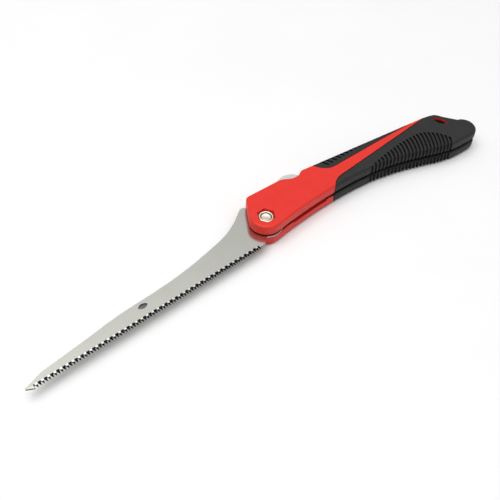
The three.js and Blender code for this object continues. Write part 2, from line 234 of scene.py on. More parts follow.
def roundRims(piece, radiusAt, widest, segments=4):
    # rounds edges by their own radius: radiusAt gives it in mm for each edge's two ends
    mesh = piece.data
    spots = [spotOf(vertex.co) for vertex in mesh.vertices]
    weights = mesh.attributes.new("bevel_weight_edge", "FLOAT", "EDGE")
    for edge in mesh.edges:
        radius = radiusAt(spots[edge.vertices[0]], spots[edge.vertices[1]])
        weights.data[edge.index].value = radius / widest
    return modify(
        piece, "BEVEL", limit_method="WEIGHT", width=widest * mm, segments=segments, use_clamp_overlap=False)


def shade(piece, degrees=32, merge=True):
    editAll(piece)
    bpy.ops.mesh.delete_loose()
    if merge:
        bpy.ops.mesh.dissolve_limited(angle_limit=flatAngle)
    closeEdit(piece)
    pick(piece)
    bpy.ops.object.shade_smooth_by_angle(angle=math.radians(degrees))
    return modify(piece, "WEIGHTED_NORMAL", keep_sharp=True, weight=50)


def finish(piece, material, body, slot, *nodes):
    # its finish, the body it moves with, and the plain solids it stands in for
    piece.data.materials.clear()
    piece.data.materials.append(material)
    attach(piece, body)
    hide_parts(*nodes)
    return piece


# lengths in mm, angles in degrees
camera = {"place": (-327.6, -301.9, 457.0), "heading": 44.27, "down": 46.88, "roll": 5.15, "lens": 60.2,
          "sensor": 36, "nearest": 10}


def placeCamera():
    letGo()
    bpy.ops.object.camera_add()
    eye = bpy.context.object
    eye.name = "studioCamera"
    turn = Matrix.Rotation(math.radians(camera["heading"] - 90), 4, "Z")
    tilt = Matrix.Rotation(math.radians(90 - camera["down"]), 4, "X")
    roll = Matrix.Rotation(math.radians(camera["roll"]), 4, "Z")
    eye.matrix_world = Matrix.Translation(Vector(camera["place"]) * mm) @ turn @ tilt @ roll
    eye.data.sensor_width = camera["sensor"]
    eye.data.lens = camera["lens"]
    eye.data.clip_start = camera["nearest"] * mm
    bpy.context.scene.camera = eye


studio = {
    "floorSize": 30.0,
    "floorDrop": 0.0002,
    # how bright the white tent is at each height, from the horizon (0) to overhead (1)
    "tent": ((0.0, 0.95), (0.08, 0.9), (0.16, 0.2), (0.55, 0.42), (0.7, 0.7), (0.77, 0.85), (0.82, 1.02),
             (0.88, 1.9), (1.0, 2.25)),
    # the softbox: place and aim in metres, size in metres, power in watts
    "key": ((-0.42, 0.08, 1.35), (0.0, 0.0, 0.0), 1.0, 8.0),
}


def buildStudio():
    bpy.ops.mesh.primitive_plane_add(size=studio["floorSize"], location=(0, 0, -studio["floorDrop"]))
    floor = bpy.context.object
    floor.name = "studioFloor"
    floor.data.materials.append(paintedFloor())
    place, aim, size, power = studio["key"]
    bpy.ops.object.light_add(type="AREA", location=place)
    box = bpy.context.object
    box.name = "overheadSoftbox"
    box.data.size = size
    box.data.energy = power
    box.rotation_euler = (Vector(aim) - Vector(place)).to_track_quat("-Z", "Y").to_euler()
    world = bpy.data.worlds.new("studioWorld")
    world.use_nodes = True
    tent = addNode(world, "ShaderNodeTexCoord")
    height = addNode(world, "ShaderNodeSeparateXYZ", None, {"Vector": (tent, "Generated")})
    glow = addNode(world, "ShaderNodeValToRGB", None, {"Fac": (height, "Z")})
    brightest = studio["tent"][-1][1]
    for _ in range(len(studio["tent"]) - 2):
        glow.color_ramp.elements.new(0.5)
    for element, (level, light) in zip(glow.color_ramp.elements, studio["tent"]):
        element.position = level
        element.color = (light / brightest, light / brightest, light / brightest, 1)
    background = world.node_tree.nodes["Background"]
    background.inputs["Strength"].default_value = brightest
    world.node_tree.links.new(glow.outputs["Color"], background.inputs["Color"])
    bpy.context.scene.world = world
    bpy.context.scene.view_settings.view_transform = "Standard"


def tint(hexColour):
    # sRGB hex to linear light
    shares = [int(hexColour[start:start + 2], 16) / 255 for start in (1, 3, 5)]
    linear = [share / 12.92 if share <= 0.04045 else ((share + 0.055) / 1.055) ** 2.4 for share in shares]
    return (*linear, 1)


def startMaterial(name, **sockets):
    material = bpy.data.materials.new(name)
    material.use_nodes = True
    surface = material.node_tree.nodes["Principled BSDF"]
    for socket, value in sockets.items():
        surface.inputs[socket.replace("_", " ")].default_value = value
    return material, surface


def addNode(material, kind, settings=None, links=None):
    # a node with its settings, and links given as {its socket: (other node, that node's socket)}
    node = material.node_tree.nodes.new(kind)
    for setting, value in (settings or {}).items():
        if setting in node.inputs and not hasattr(node, setting):
            node.inputs[setting].default_value = value
        else:
            setattr(node, setting, value)
    for socket, (other, output) in (links or {}).items():
        material.node_tree.links.new(other.outputs[output], node.inputs[socket])
    return node


def perMillimetre(size):
    # a noise scale, in cells per metre, for a pattern of that size in mm
    return 1000 / size


def mottle(material, surface, darker, lighter, patch, low=0.35, high=0.65):
    # slow change of colour over the surface, between two close tints
    place = addNode(material, "ShaderNodeTexCoord")
    cloud = addNode(material, "ShaderNodeTexNoise", {"Scale": perMillimetre(patch), "Detail": 4.0},
                    {"Vector": (place, "Object")})
    mix = addNode(material, "ShaderNodeValToRGB", None, {"Fac": (cloud, "Fac")})
    mix.color_ramp.elements[0].position = low
    mix.color_ramp.elements[1].position = high
    mix.color_ramp.elements[0].color = tint(darker)
    mix.color_ramp.elements[1].color = tint(lighter)
    material.node_tree.links.new(mix.outputs["Color"], surface.inputs["Base Color"])
    return place


def grain(material, surface, place, size, depth, stretch=(1, 1, 1), rough=None):
    # a fine raised pattern of that size and depth in mm, which also varies the gloss
    spread = addNode(material, "ShaderNodeMapping", {"Scale": stretch}, {"Vector": (place, "Object")})
    pattern = addNode(material, "ShaderNodeTexNoise", {"Scale": perMillimetre(size), "Detail": 2.0},
                      {"Vector": (spread, "Vector")})
    bump = addNode(material, "ShaderNodeBump", {"Strength": 1.0, "Distance": depth * mm},
                   {"Height": (pattern, "Fac")})
    material.node_tree.links.new(bump.outputs["Normal"], surface.inputs["Normal"])
    if rough:
        gloss = addNode(material, "ShaderNodeMapRange", {"To Min": rough[0], "To Max": rough[1]},
                        {"Value": (pattern, "Fac")})
        material.node_tree.links.new(gloss.outputs["Result"], surface.inputs["Roughness"])


def glassFilledNylon():
    # injection-moulded glass-filled nylon: strong even colour, satin, with a fine eroded mould texture
    material, surface = startMaterial("redGlassFilledNylon", Roughness=0.42, IOR=1.5, Specular_IOR_Level=0.3)
    place = mottle(material, surface, "#CF291F", "#D22B21", 9)
    grain(material, surface, place, 0.5, 0.01, rough=(0.36, 0.46))
    return material


def mouldedRubber():
    # thermoplastic elastomer moulded over the core: near-black, soft sheen, finely stippled
    material, surface = startMaterial("blackMouldedRubber", Roughness=0.6, IOR=1.5, Specular_IOR_Level=0.3)
    place = mottle(material, surface, "#1E1F1E", "#222321", 6)
    grain(material, surface, place, 0.45, 0.03, rough=(0.5, 0.66))
    # painted shade: the grooves are darkened towards black by their depth under the ungrooved surface,
    # standing in for the shade that falls in them
    grooveShade = addNode(material, "ShaderNodeAttribute", {"attribute_name": "grooveShade"})
    rubberTone = surface.inputs["Base Color"].links[0].from_node
    grooveShaded = addNode(material, "ShaderNodeMixRGB", {"Color2": tint("#020202")},
                   {"Fac": (grooveShade, "Fac"), "Color1": (rubberTone, "Color")})
    material.node_tree.links.new(grooveShaded.outputs["Color"], surface.inputs["Base Color"])
    return material


def groundSteel():
    # hard-chromed saw steel, ground along its length: satin, with faint long scratches
    material, surface = startMaterial("satinGroundSteel", Metallic=1.0, Roughness=0.17)
    place = mottle(material, surface, "#CDCDC6", "#D1D1CA", 30)
    grain(material, surface, place, 0.35, 0.0004, stretch=(0.04, 1, 1), rough=(0.155, 0.185))
    return material


def hardenedAndShadedSteel():
    # tooth points hardened by a short pulse of heat and then ground: gone almost black with bluing; also laid
    # as painted shade and reflection on the teeth's walls and on every other tooth, and as painted shade on
    # the mark's walls
    material, surface = startMaterial("pulseHardenedAndShadedSteel", Metallic=1.0, Roughness=0.4)
    place = mottle(material, surface, "#141517", "#1F2022", 1.5)
    grain(material, surface, place, 0.3, 0.004, rough=(0.34, 0.5))
    return material


def freshSteel():
    # bare steel straight from the wheel: the brightest metal on the saw
    material, surface = startMaterial("freshGroundSteel", Metallic=1.0, Roughness=0.3)
    place = mottle(material, surface, "#F6F2E4", "#FCFAF0", 3)
    grain(material, surface, place, 0.3, 0.002, stretch=(1, 0.2, 1), rough=(0.26, 0.34))
    return material


def tumbledSteel():
    # stamped and tumbled steel plate: bright and evenly frosted
    material, surface = startMaterial("tumbledSteelPlate", Metallic=1.0, Roughness=0.5)
    place = mottle(material, surface, "#D2D2CE", "#D8D8D4", 4)
    grain(material, surface, place, 0.4, 0.006, rough=(0.45, 0.56))
    return material


def zincPlate():
    # zinc-plated fastener: bright, slightly cloudy silver
    material, surface = startMaterial("zincPlatedSteel", Metallic=1.0, Roughness=0.22)
    place = mottle(material, surface, "#F5EAD5", "#FDF5E4", 2)
    grain(material, surface, place, 0.3, 0.003, rough=(0.3, 0.4))
    return material


def turnedSteel():
    # plain turned steel pins: grey, with tool marks around the axis
    material, surface = startMaterial("turnedPlainSteel", Metallic=1.0, Roughness=0.35)
    place = mottle(material, surface, "#8E8E90", "#A2A2A4", 2)
    grain(material, surface, place, 0.25, 0.004, stretch=(1, 1, 4), rough=(0.3, 0.42))
    return material


def springStrip():
    # rolled and tempered strip: a plain, lustreless grey, which is also painted on the floor of the blade's
    # stamped mark as painted shade in the recess
    material, surface = startMaterial("temperedSpringStrip", Metallic=1.0, Roughness=0.38)
    place = mottle(material, surface, "#69696A", "#79787A", 5)
    grain(material, surface, place, 0.3, 0.003, stretch=(0.1, 1, 1), rough=(0.32, 0.46))
    return material


def naturalNylon():
    # plain turned nylon: milky and smooth
    material, surface = startMaterial("naturalTurnedNylon", Roughness=0.45, IOR=1.53)
    place = mottle(material, surface, "#E2DFD2", "#EDEBE0", 3)
    grain(material, surface, place, 0.3, 0.004, rough=(0.4, 0.52))
    return material


def shadedInsertNylon():
    # the lock nut's insert: nylon painted dark grey as painted shade, seen only as a dark ring round the
    # bolt's end
    material, surface = startMaterial("insertNylonPaintedShade", Roughness=0.55, IOR=1.53)
    place = mottle(material, surface, "#2A2926", "#34322E", 2)
    grain(material, surface, place, 0.3, 0.004, rough=(0.5, 0.6))
    return material


def paintedFloor():
    # matt white studio board, very slightly uneven
    material, surface = startMaterial("mattWhiteBoard", Roughness=0.8)
    mottle(material, surface, "#E2E2E2", "#E4E4E4", 120)
    return material


finishes = {
    "core_nylon": glassFilledNylon(), "grip_rubber": mouldedRubber(), "blade_steel": groundSteel(),
    "lever_steel": tumbledSteel(), "zinc_steel": zincPlate(), "plain_steel": turnedSteel(),
    "spring_steel": springStrip(), "white_nylon": naturalNylon(),
}
insertNylonInShade = shadedInsertNylon()
toothSteelAndShade = hardenedAndShadedSteel()
pointSteel = freshSteel()
# what keeps its plain solid gets its finish here
for row in frame["record"]["subparts"]:
    carried = frame["nodes"][row["node"]]
    # painted shade: the nut's insert gets the dark nylon instead of its white nylon finish
    isInsert = row["node"] == "nut_nylon_ring"
    carried.data.materials.clear()
    carried.data.materials.append(insertNylonInShade if isInsert else finishes[row["material_slot"]])
print("materials ready")

placeCamera()
buildStudio()
print("camera, floor and light ready")


# the handle: two shells, each with two soft grips moulded over it
handle = {
    "noseRadius": 12.8, "frontSlant": 145, "backHeight": 24.1, "tailRadius": 10.8, "tailDrop": 25.5,
    "gripStart": 64.3, "gripSkin": 1.8, "seam": 0.45, "noseRound": 2.3, "backRound": 1.4, "bellyRound": 3.0,
    "slotRound": 1.1, "gripSlotRound": 1.6, "skinRound": 1.6, "leverX": 38.0,
}


def gripAt(share):
    # a place along the grips, from their front (0) to the tail (1)
    return handle["gripStart"] + share * (handleReach - handle["gripStart"])


def handleStops():
    nose = handle["noseRadius"]
    high = handle["backHeight"]
    tailX = handleReach - handle["tailRadius"]
    stops = ring(0, 0, nose, handle["frontSlant"], 270, 10)
    stops[0] = (*stops[0][:2], "corner")
    stops += [(x, y, "round") for x, y in [
        (16, 1.5 - nose), (36, 2.8 - nose), (56, -9.5), (gripAt(0.09), -10), (gripAt(0.22), -11.5),
        (gripAt(0.357), -15.1), (gripAt(0.494), -20.6), (gripAt(0.611), -26.9), (gripAt(0.696), -31.7),
        (gripAt(0.781), -34.9), (gripAt(0.859), 0.3 - handle["tailDrop"] - handle["tailRadius"])]]
    stops += ring(tailX, -handle["tailDrop"], handle["tailRadius"], -90, 50, 10)
    stepX, stepY = stops[-1][:2]
    stops += [
        (stepX - 1.3, stepY + 0.9, "round"), (stepX - 3.2, stepY + 1.4, "corner"),
        (handleReach - 15.5, -3.6, "corner"), (handleReach - 18.4, 0.2, "round"),
        (handleReach - 23, 2.3, "corner"), (gripAt(0.8), 4.1, "corner"),
        (handle["leverX"] + 22, high - 4.2, "corner")]
    stops += [(handle["leverX"] + along, high - drop, "round") for along, drop in [
        (17.8, 4.1), (15.2, 5.5), (12.8, 6.3), (9.8, 6.5), (6.4, 5.9), (3, 4.2), (-0.5, 2.3), (-4, 1.4)]]
    stops += [(handle["leverX"] - 8, high - 1.2, "corner"), (4.2, high, "corner"), (1.4, high - 0.4, "round"),
              (-0.6, high - 2.4, "corner")]
    return stops


def backGripStops():
    start = handle["gripStart"] + 2.7
    end = gripAt(0.774)
    high = handle["backHeight"]
    return [(start, high + 10, "corner"), (start, high - 5.1, "corner"), (start + 1.2, 16.2, "round"),
            (start + 3.4, 12.6, "round"), (start + 6.6, 9.4, "round"), (start + 10.6, 7.5, "round"),
            (start + 15, 6.9, "corner"), (gripAt(0.494), 6.1, "corner"), (end, 4.6, "corner"),
            (end, high + 10, "corner")]


def bellyGripStops():
    start = handle["gripStart"]
    return [(start, -60, "corner"), (handleReach + 20, -60, "corner"), (handleReach + 20, 30, "corner"),
            (gripAt(0.807), 30, "corner"), (gripAt(0.797), 3.2, "corner"), (gripAt(0.624), 1.7, "corner"),
            (start + 17.7, -3.1, "corner"), (start + 12, -3.5, "round"), (start + 6.6, -5.2, "round"),
            (start + 2.6, -7.8, "round"), (start, -10.5, "corner")]


def shellRound(outer, inner, slotRadius):
    # the radius along the outer rim grows from the nose along the belly to the tail
    def radiusAt(one, other):
        if abs(one[2] - other[2]) > same:
            return 0
        if abs(one[2] - inner) < same:
            return slotRadius
        x = (one[0] + other[0]) / 2
        y = (one[1] + other[1]) / 2
        belly = ramp(-y, -2, 9)
        along = ramp(x, 16, 62)
        front = handle["backRound"] + (handle["noseRound"] - handle["backRound"]) * belly
        return front + (handle["bellyRound"] - front) * belly * along
    return radiusAt


def halfBody(name, outer, inner, slotRadius):
    piece = slab(name, handleStops(), min(outer, inner), max(outer, inner), 5)
    return roundRims(piece, shellRound(outer, inner, slotRadius), handle["bellyRound"], 5)


def innerSlab(depth, outer, inner):
    # the body less a skin of that depth, standing past the slot side
    towards = 1 if outer > inner else -1
    rim = outer - depth * towards
    low, high = sorted((inner - 4 * towards, rim))
    piece = slab("innerSlab", handleStops(), low, high, 5, inset=depth)

    def radiusAt(one, other):
        return handle["skinRound"] if abs(one[2] - rim) + abs(other[2] - rim) < same else 0

    return roundRims(piece, radiusAt, handle["skinRound"], 3)


# the grips' finger grooves
groove = {"spacing": 4.1, "backSpacing": 4.5, "width": 1.9, "depth": 1.5, "bellyCount": 28, "backCount": 10,
          "rim": 0.9, "steps": 6}


def grooveBand(start, bend, end, low, high):
    # one groove's cutter: an upright band along a bent line
    half = groove["width"] / 2
    sides = []
    for side in (1, -1):
        row = []
        for step in range(groove["steps"] + 1):
            share = step / groove["steps"]
            x = (1 - share) ** 2 * start[0] + 2 * share * (1 - share) * bend[0] + share ** 2 * end[0]
            y = (1 - share) ** 2 * start[1] + 2 * share * (1 - share) * bend[1] + share ** 2 * end[1]
            dx = 2 * (1 - share) * (bend[0] - start[0]) + 2 * share * (end[0] - bend[0])
            dy = 2 * (1 - share) * (bend[1] - start[1]) + 2 * share * (end[1] - bend[1])
            length = math.hypot(dx, dy)
            row.append((x - side * half * dy / length, y + side * half * dx / length, "corner"))
        sides += row if side == 1 else row[::-1]
    return slab("groove", sides, low, high, 1)


def grooveCutter(belly, outer, inner):
    low, high = sorted((outer, inner))
    bands = []
    if belly:
        for index in range(groove["bellyCount"]):
            x = gripAt(0.207) + (index - 2) * groove["spacing"]
            bands.append(grooveBand((x, -6), (x - 1.8, -14.5), (x - 24, -40), low - 3, high + 3))
    else:
        for index in range(groove["backCount"]):
            x = gripAt(0.097) + index * groove["backSpacing"]
            bands.append(grooveBand((x, 11.2), (x - 2.4, 15.2), (x - 4.2, 21), low - 3, high + 3))
    pick(*bands)
    bpy.ops.object.join()
    cutter = bands[0]
    if belly:
        # the grooved field is an arch that opens at the belly
        front = gripAt(0.12)
        rear = gripAt(0.797)
        arch = [(front, -60, "corner"), (front, -13.4, "corner"), (gripAt(0.2), -13.2, "corner")]
        arch += [(gripAt(share), y, "round") for share, y in [
            (0.318, -9.8), (0.455, -7.3), (0.592, -6.6), (0.69, -8.8), (0.761, -17.5)]]
        arch += [(rear, -29, "corner"), (rear, -60, "corner")]
        carve(cutter, slab("arch", arch, low - 4, high + 4, 6), how="INTERSECT")
    else:
        # a lip is left along the back edge
        carve(cutter, slab("lip", handleStops(), low - 4, high + 4, 5, inset=groove["rim"]), how="INTERSECT")
    return carve(cutter, innerSlab(groove["depth"], outer, inner))


lanyard = {"x": handleReach - 21.8, "y": -8.3, "length": 12.6, "width": 5.7, "lean": -64, "lining": 0.3,
           "liningDrop": 0.5, "redDepth": 2.0}


def ovalHole(x, y, length, width, lean, low, high):
    # a pointed oval: two equal arcs that meet at its ends
    radius = (length ** 2 + width ** 2) / (4 * width)
    drop = radius - width / 2
    spread = math.degrees(math.asin(length / 2 / radius))
    stops = []
    for side in (1, -1):
        middle = lean + 90 * side
        turn = math.radians(middle)
        arc = ring(x - drop * math.cos(turn), y - drop * math.sin(turn), radius, middle - spread,
                   middle + spread, 20, "corner")
        stops += arc[:-1]
    return slab("ovalHole", stops, low, high, 1)


def lanyardHole(grow, reach=5):
    return ovalHole(lanyard["x"], lanyard["y"], lanyard["length"] + 2 * grow, lanyard["width"] + 2 * grow,
                    lanyard["lean"], -reach, topZ + reach)


screws = {"spots": [(65.0, 13.0), (88.0, 5.4), (135.0, 3.2), (181.0, -5.5)], "shaft": 1.6, "head": 3.1,
          "depth": 2.6, "headRadius": 2.8, "shankRadius": 1.5, "end": slotRoof + 5.5, "crossHalf": 0.45,
          "crossReach": 4.0, "turn": 37}


def screwHoles():
    holes = []
    for x, y in screws["spots"]:
        holes.append(rod(x, y, screws["shaft"], -2, screws["end"] + 0.1, 24))
        holes.append(rod(x, y, screws["head"], -2, screws["depth"], 32))
    return holes


# how the moulded rubber is softened, and the depths at which the painted shade in its grooves starts and
# reaches full black
moulding = {"voxel": 0.34, "smoothing": 0.5, "passes": 2, "kept": 0.36, "grooveShade": (0.25, 1.0)}


def markGrooveShade(piece, smooth):
    # how deep each point lies under the ungrooved surface, kept as an attribute from 0 to 1 that drives the
    # painted shade in the grooves
    tree = BVHTree.FromPolygons([vertex.co for vertex in smooth.data.vertices],
                                [face.vertices for face in smooth.data.polygons])
    depths = piece.data.attributes.new("grooveShade", "FLOAT", "POINT")
    for vertex in piece.data.vertices:
        depth = tree.find_nearest(vertex.co)[3] / mm
        depths.data[vertex.index].value = ramp(depth, *moulding["grooveShade"])
    bpy.data.objects.remove(smooth)


def softGrip(name, stops, belly, outer, inner):
    piece = halfBody(name, outer, inner, handle["gripSlotRound"])
    smooth = copyOf(piece, "smoothBody")
    low, high = sorted((outer, inner))
    carve(piece, slab("gripArea", stops, low - 2, high + 2, 6, inset=handle["seam"]), how="INTERSECT")
    carve(piece, innerSlab(handle["gripSkin"], outer, inner))
    carve(piece, grooveCutter(belly, outer, inner))
    carve(piece, lanyardHole(lanyard["lining"] + 0.1))
    if outer < inner:
        carve(piece, *screwHoles())
    modify(piece, "REMESH", mode="VOXEL", voxel_size=moulding["voxel"] * mm, adaptivity=0.0)
    modify(piece, "SMOOTH", factor=moulding["smoothing"], iterations=moulding["passes"])
    modify(piece, "DECIMATE", ratio=moulding["kept"])
    # painted shade for the grooves, from each point's depth
    markGrooveShade(piece, smooth)
    pick(piece)
    bpy.ops.object.shade_smooth()
    return piece


spine = {"foldAngle": 169.5, "clear": 18.1, "inset": 0.8, "front": (4.1, 22.0, 32.0, 20.8)}


def spineRibs():
    # the back of the slot is closed by two ribs, which stand on the lower shell beyond the folded teeth
    lean = math.radians(spine["foldAngle"] - 180)
    foot = [(spine["clear"] * -math.sin(lean) + reach * math.cos(lean),
             spine["clear"] * math.cos(lean) + reach * math.sin(lean), "corner")
            for reach in (handle["leverX"] + 22, bladeReach - 13)]
    behind = foot + [(handleReach + 10, foot[1][1], "corner"), (handleReach + 10, 40, "corner"),
                     (foot[0][0], 40, "corner")]
    startX, startY, endX, endY = spine["front"]
    ahead = [(startX, startY, "corner"), (endX, endY, "corner"), (endX, 40, "corner"), (startX, 40, "corner")]
    ribs = []
    for stops in (behind, ahead):
        rib = slab("rib", handleStops(), slotFloor - 1.5, slotRoof, 5, inset=spine["inset"])
        carve(rib, slab("ribArea", stops, 0, topZ), how="INTERSECT")
        ribs.append(rib)
    return ribs


def core(name, outer, inner):
    # one shell's hard core: the body less the beds of its two grips
    piece = halfBody(name, outer, inner, handle["slotRound"])
    low, high = sorted((outer, inner))
    if outer < inner:
        carve(piece, *spineRibs(), how="UNION")
    for stops in (backGripStops(), bellyGripStops()):
        bed = slab("bed", stops, low - 3, high + 3, 6)
        carve(bed, innerSlab(handle["gripSkin"] + 0.06, outer, inner))
        carve(bed, lanyardHole(lanyard["lining"], -lanyard["liningDrop"]))
        carve(piece, bed)
    return carve(piece, lanyardHole(0))


pocket = {"flats": 13.0, "seat": 12.8, "hole": 4.05, "headTop": 4.8, "pinRadius": 2.1, "pinDepth": 5.1,
          "relief": {"from": 20.5, "to": 57.0, "edge": -25.0, "inside": (-6.5, -4.5), "depth": 1.4}}


def pinHoles():
    depth = pocket["pinDepth"]
    holes = []
    for low, high in ((pinLow, pinHigh), (stopLow, stopHigh)):
        x = ((low.x + high.x) / 2 - pivotX) / mm
        y = ((low.y + high.y) / 2 - pivotY) / mm
        holes.append(rod(x, y, pocket["pinRadius"], slotFloor - depth, slotRoof + depth, 32))
    return holes


# where the red core shows among the grips, in mm, with the end at the back as shares along the grips
bare = {"outside": 0.3, "frontReach": 3.2, "frontY": 10, "bellyReach": 6, "bellyY": 0, "slotGap": 2.6,
        "backEnd": (0.765, 0.815), "backY": 2, "holeReach": 7, "level": 0.9, "margin": 0.05}


def isBare(x, y, z):
    # its flat outer side, its ends before and behind the grips, and the lanyard hole's collar
    depth = min(z, topZ - z)
    fromSlot = min(abs(z - slotFloor), abs(z - slotRoof))
    pastStart = x - handle["gripStart"]
    start, end = bare["backEnd"]
    front = pastStart < bare["frontReach"] and y > bare["frontY"]
    belly = pastStart < bare["bellyReach"] and y < bare["bellyY"] and fromSlot > bare["slotGap"]
    back = gripAt(start) < x < gripAt(end) and y > bare["backY"]
    nearHole = math.hypot(x - lanyard["x"], y - lanyard["y"]) < bare["holeReach"]
    return depth < bare["outside"] or front or belly or back or nearHole and depth < lanyard["redDepth"]


def skinCoreAndShadeSlot(piece):
    # the grips' moulding also runs thinly over the core under them, and the slot's faces all along the handle
    # get the black rubber as painted shade in the slot
    piece.data.materials.append(finishes["grip_rubber"])
    for face in piece.data.polygons:
        x, y, z = spotOf(face.center)
        level = abs(face.normal.z) > bare["level"]
        # painted shade: the slot's level faces are made black from nose to tail
        shadedSlot = level and slotFloor - bare["margin"] < z < slotRoof + bare["margin"]
        if shadedSlot or x > handle["gripStart"] and not isBare(x, y, z):
            face.material_index = 1


def buildShells():
    corner = pocket["flats"] / 2 / math.cos(math.pi / 6)
    upper = core("upperCore", topZ, slotRoof)
    carve(upper, rod(0, 0, corner, pocket["seat"], topZ + 5, 6, 90), rod(0, 0, pocket["hole"], -5, topZ + 5),
          *pinHoles(), *screwHoles())
    lower = core("lowerCore", 0, slotFloor)
    relief = pocket["relief"]
    start, end = relief["from"], relief["to"]
    startInside, endInside = relief["inside"]
    reliefStops = [(start, relief["edge"], "corner"), (end, relief["edge"], "corner"),
                   (end, endInside, "corner"), (start, startInside, "corner")]
    carve(lower, slab("relief", reliefStops, slotFloor - relief["depth"], slotFloor + 1))
    carve(lower, rod(0, 0, corner, -5, pocket["headTop"], 6, 90), rod(0, 0, pocket["hole"], -5, topZ + 5),
          *pinHoles(), *screwHoles())
    for piece, node in ((upper, "upper_shell"), (lower, "lower_shell")):
        editAll(piece)
        bpy.ops.mesh.dissolve_limited(angle_limit=flatAngle)
        splitAt(((handle["gripStart"], 0, 0), (1, 0, 0)), ((0, 0, lanyard["redDepth"]), (0, 0, 1)),
                ((0, 0, topZ - lanyard["redDepth"]), (0, 0, 1)))
        closeEdit(piece)
        shade(piece, merge=False)
        finish(piece, finishes["core_nylon"], "handle", "core_nylon", node)
        skinCoreAndShadeSlot(piece)
    print("shells modelled")


def buildGrips():
    for level, outer, inner in (("upper", topZ, slotRoof), ("lower", 0, slotFloor)):
        for place, stops in (("Belly", bellyGripStops()), ("Back", backGripStops())):
            piece = softGrip(level + place + "Grip", stops, place == "Belly", outer, inner)
            finish(piece, finishes["grip_rubber"], "handle", "grip_rubber", f"{level}_{place.lower()}_grip")
    print("grips modelled")


# the band of bluing along the tooth tips is hardened steel, deepened as painted shade and reflection
saw = {
    "thickness": 1.3, "teeth": 84, "toothDepth": 3.0, "toothLine": -16.6, "heel": -19.5, "firstTooth": 5.2,
    "root": 0.6, "lean": 0.45, "set": 0.28, "grind": 0.7, "blued": 1.9, "edge": 0.25, "tang": 13.4,
    "notchDepth": 2.6, "notch": (4.5, 8.3), "face": -0.4, "shoulder": 23.6, "bushHole": 5.6,
    "mark": {"x": -119.5, "y": -6.0, "length": 7.8, "width": 4.2, "depth": 0.9, "margin": 0.1},
    "level": 0.95, "margin": 0.05,
}
midZ = (bladeLow.z + bladeHigh.z) / 2 / mm
saw["low"] = midZ - saw["thickness"] / 2
saw["high"] = midZ + saw["thickness"] / 2
saw["gullet"] = saw["toothLine"] + saw["toothDepth"]
saw["rootLine"] = saw["gullet"] + saw["root"]
saw["toothTop"] = saw["gullet"] + 0.1
saw["bluedTop"] = saw["toothLine"] + saw["blued"]
saw["first"] = saw["firstTooth"] - bladeReach
saw["pitch"] = (saw["heel"] - saw["first"]) / saw["teeth"]


def toothStops():
    stops = [(-bladeReach, saw["gullet"], "corner"), (saw["first"], saw["toothLine"], "corner")]
    for tooth in range(saw["teeth"]):
        start = saw["first"] + tooth * saw["pitch"]
        stops += [(start + saw["lean"] * saw["pitch"], saw["gullet"], "corner"),
                  (start + saw["pitch"], saw["toothLine"], "corner")]
    return stops


def bladeBodyStops():
    # from the last tooth round the heel, tang, shoulder and back to the point
    radius = saw["tang"]
    left, right = saw["notch"]
    floor = math.sqrt(radius ** 2 - ((left + right) / 2) ** 2) - saw["notchDepth"]
    angles = [math.degrees(math.acos(x / radius)) for x in (right, left, saw["face"])]
    stops = [(saw["heel"], saw["toothLine"], "corner"), (saw["heel"] + 0.6, saw["toothLine"] + 1.6, "corner"),
             (-13.6, saw["toothLine"] + 1.7, "corner"), (-11.3, 0.4 - radius, "corner")]
    stops += ring(0, 0, radius, -124, angles[0], 24, "round")
    stops[-1] = (*stops[-1][:2], "corner")
    stops += [(right, floor, "corner"), (left, floor, "corner")]
    stops += ring(0, 0, radius, angles[1], angles[2], 3, "corner")
    shoulder = saw["shoulder"]
    stops += [(saw["face"], shoulder - 2.4, "corner"), (saw["face"] - 0.9, shoulder - 0.7, "round"),
              (saw["face"] - 2.8, shoulder, "round")]
    stops += [(-5.2, shoulder - 0.4, "round"), (-8.8, shoulder - 2.4, "round"), (-15.3, 17.0, "round"),
              (-23.7, 12.7, "round"), (-31.9, 9.5, "round")]
    stops += [(-share * bladeReach, y, "round") for share, y in [
        (0.24, 5.1), (0.332, 1.8), (0.409, -0.1), (0.471, -0.9), (0.593, -1.7), (0.655, -2.4), (0.747, -4.6),
        (0.839, -6.6)]]
    return stops + [(14.1 - bladeReach, -8.6, "corner"), (0.4 - bladeReach, saw["rootLine"] + 0.1, "corner"),
                    (-bladeReach, saw["rootLine"], "corner")]


def toothOf(x):
    return round((x - saw["first"]) / saw["pitch"])


def isTip(spot):
    return spot[1] < saw["toothLine"] + saw["margin"] and spot[0] < saw["heel"] + saw["margin"]


